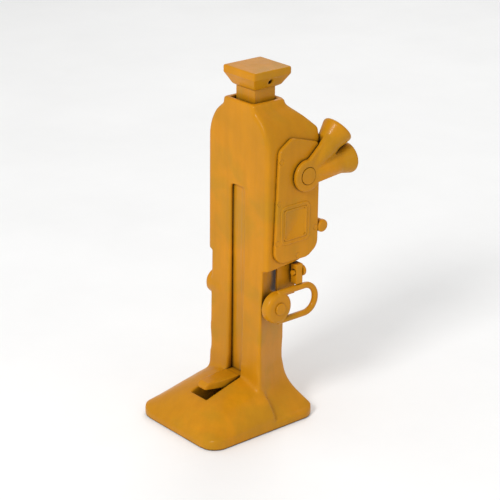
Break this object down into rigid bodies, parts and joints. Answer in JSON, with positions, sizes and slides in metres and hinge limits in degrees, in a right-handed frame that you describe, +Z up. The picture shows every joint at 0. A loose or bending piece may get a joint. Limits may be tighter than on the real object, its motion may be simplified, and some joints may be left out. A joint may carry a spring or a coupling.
{
  "type": "track jack",
  "caption": "Upright cast track jack: toothed rack with a flat head and a low toe claw, raised by a pinion and ratchet lever, with a looped trip handle.",
  "frame": {"origin": "on the ground under the axis of the rack", "axes": "+Z up, -Y towards the toe claw, +X towards the side cover, lever and trip handle"},
  "size_m": [0.19, 0.2853, 0.56],
  "materials": {
    "painted_casting": "semi-gloss paint over cast steel",
    "painted_steel": "semi-gloss paint over machined steel",
    "bare_steel": "oiled machined steel",
    "spring_steel": "blued spring steel",
    "bronze": "machined bearing bronze"
  },
  "bodies": {
    "housing": {"housing_casting": "painted_casting", "side_cover": "painted_casting", "cover_screws": "painted_steel", "name_plate": "painted_steel", "plate_rivets": "painted_steel", "inner_shaft_bush": "bronze", "left_shaft_bush": "bronze", "holding_pawl_pin": "bare_steel", "holding_pawl_spring": "spring_steel", "trip_bolt": "painted_steel", "stop_lug": "painted_casting", "stop_bolt": "painted_steel", "rear_pin": "painted_steel", "left_boss_plug": "painted_steel"},
    "rack": {"rack_bar": "painted_steel", "toe_claw": "painted_casting", "toe_pins": "bare_steel", "head_cap": "painted_casting", "head_pin": "bare_steel"},
    "drive_shaft": {"pinion_shaft": "bare_steel", "ratchet_wheel": "bare_steel", "ratchet_key": "bare_steel", "retaining_ring": "spring_steel", "thrust_washer": "bare_steel"},
    "lever": {"lever_socket": "painted_casting", "shaft_cap": "painted_steel", "pawl_carrier": "bare_steel", "drive_pawl_pin": "bare_steel", "drive_pawl_spring": "spring_steel"},
    "drive_pawl": {"drive_pawl": "bare_steel", "drive_lift_pin": "bare_steel"},
    "holding_pawl": {"holding_pawl": "bare_steel", "holding_lift_pin": "bare_steel"},
    "trip_handle": {"trip_handle": "painted_casting"},
    "trip_plate": {"trip_plate": "painted_steel"}
  },
  "joints": [
    {"name": "rack_lift", "type": "slide", "parent": "housing", "child": "rack", "axis": [0, 0, 1], "range_m": [0, 0.30159]},
    {"name": "pinion_turn", "type": "hinge", "parent": "housing", "child": "drive_shaft", "pos_m": [0, 0.033, 0.401], "axis": [1, 0, 0], "range_deg": [-961, 1]},
    {"name": "lever_swing", "type": "hinge", "parent": "housing", "child": "lever", "pos_m": [0.0804, 0.033, 0.401], "axis": [1, 0, 0], "range_deg": [-30, 0]},
    {"name": "drive_pawl_turn", "type": "hinge", "parent": "lever", "child": "drive_pawl", "pos_m": [0.044, 0.02, 0.43671], "axis": [1, 0, 0], "range_deg": [-16.2, 0.2]},
    {"name": "holding_pawl_turn", "type": "hinge", "parent": "housing", "child": "holding_pawl", "pos_m": [0.044, 0.0409, 0.36383], "axis": [1, 0, 0], "range_deg": [-16.2, 0.2]},
    {"name": "trip_turn", "type": "hinge", "parent": "housing", "child": "trip_handle", "pos_m": [0.075, -0.018, 0.198], "axis": [1, 0, 0], "range_deg": [-30, 0]},
    {"name": "trip_plate_slide", "type": "slide", "parent": "housing", "child": "trip_plate", "axis": [0, 0, 1], "range_m": [-0.00848, 0.0002]}
  ],
  "couplings": [
    {"joint": "pinion_turn", "follows": "rack_lift", "rad_per_m": -55.556},
    {"joint": "drive_pawl_turn", "follows": "trip_turn", "ratio": 0.53333},
    {"joint": "holding_pawl_turn", "follows": "trip_turn", "ratio": 0.53333},
    {"joint": "trip_plate_slide", "follows": "trip_turn", "m_per_rad": 0.015818}
  ]
}
